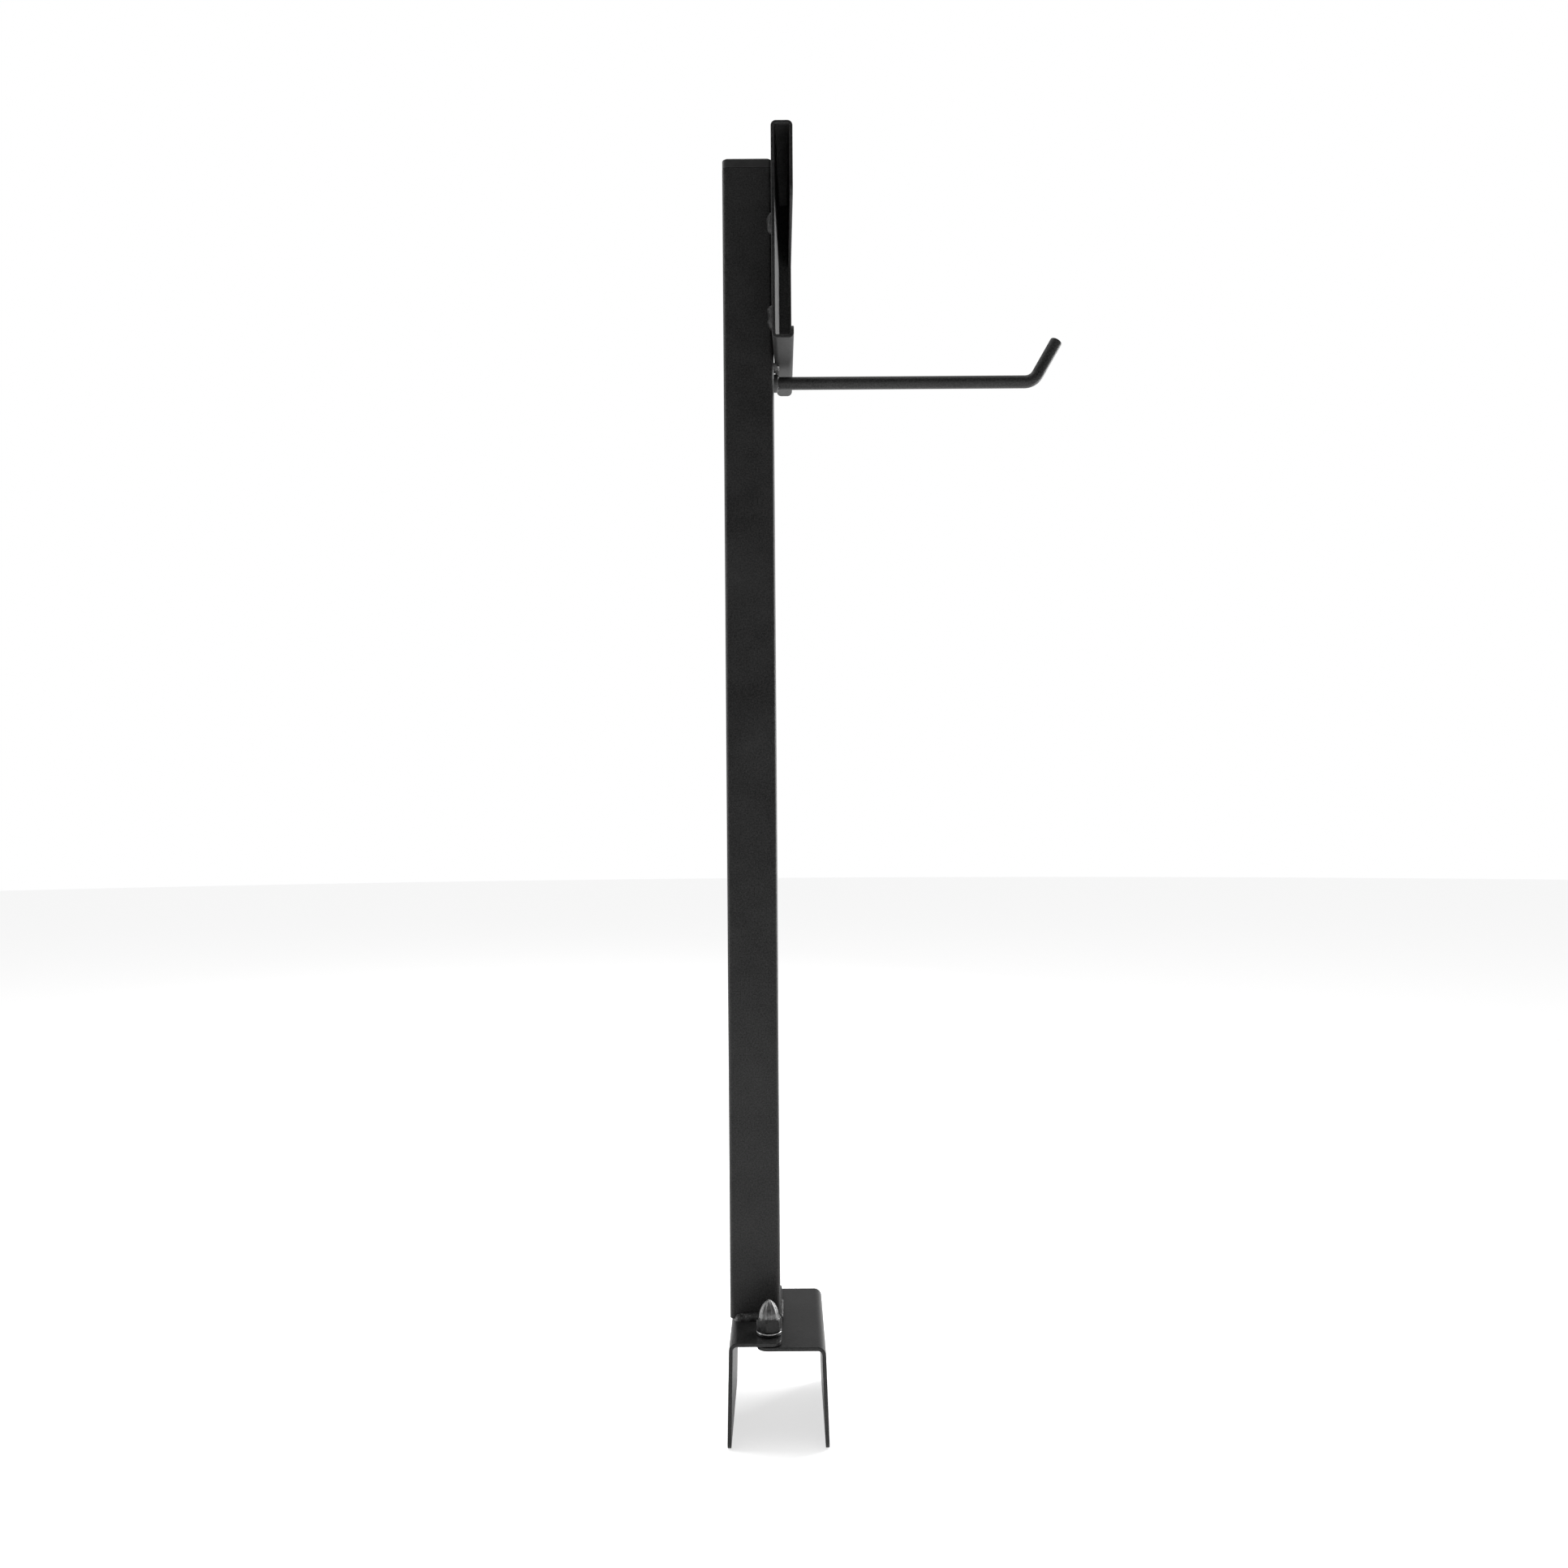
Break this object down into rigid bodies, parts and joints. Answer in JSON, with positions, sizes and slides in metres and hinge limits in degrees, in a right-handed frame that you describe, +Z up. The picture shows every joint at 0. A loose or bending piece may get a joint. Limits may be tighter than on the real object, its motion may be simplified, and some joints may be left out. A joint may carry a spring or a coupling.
{
  "type": "display rack upright",
  "caption": "Square steel upright on a two-piece saddle that clamps over a rail, with a narrow card pocket and an upturned wire hook near the top.",
  "frame": {"origin": "on the post's axis, at the underside of the fixed saddle plate, which faces the top of the rail", "axes": "+Z up the post, +X along the wire hook and across the rail, +Y along the rail, away from the clamp bolt"},
  "size_m": [0.1744, 0.0794, 0.6406],
  "materials": {
    "powder_coat": "semi-gloss black powder coat, fine texture",
    "coated_weld": "weld bead under black powder coat",
    "plug_plastic": "satin black polyethylene",
    "dark_plated": "black zinc plate",
    "bright_zinc": "bright zinc plate"
  },
  "bodies": {
    "upright": {"upright_tube": "powder_coat", "tube_end_plug": "plug_plastic", "fixed_bracket": "powder_coat", "carriage_bolt": "bright_zinc", "flat_washer": "dark_plated", "lock_washer": "bright_zinc", "card_pocket": "powder_coat", "hook_wire": "powder_coat", "foot_weld_near": "coated_weld", "foot_weld_far": "coated_weld", "foot_weld_side": "coated_weld", "pocket_weld_upper": "coated_weld", "pocket_weld_lower": "coated_weld", "pocket_weld_under": "coated_weld", "hook_weld": "coated_weld"},
    "sliding_jaw": {"sliding_bracket": "powder_coat"},
    "nut": {"dome_nut": "dark_plated"}
  },
  "joints": [
    {"name": "jaw_slide", "type": "slide", "parent": "upright", "child": "sliding_jaw", "axis": [1, 0, 0], "range_m": [-0.0014, 0.004]},
    {"name": "nut_turn", "type": "hinge", "parent": "upright", "child": "nut", "pos_m": [0.0072, -0.0311, 0.00405], "axis": [0, 0, 1], "range_deg": [0, 360]}
  ]
}
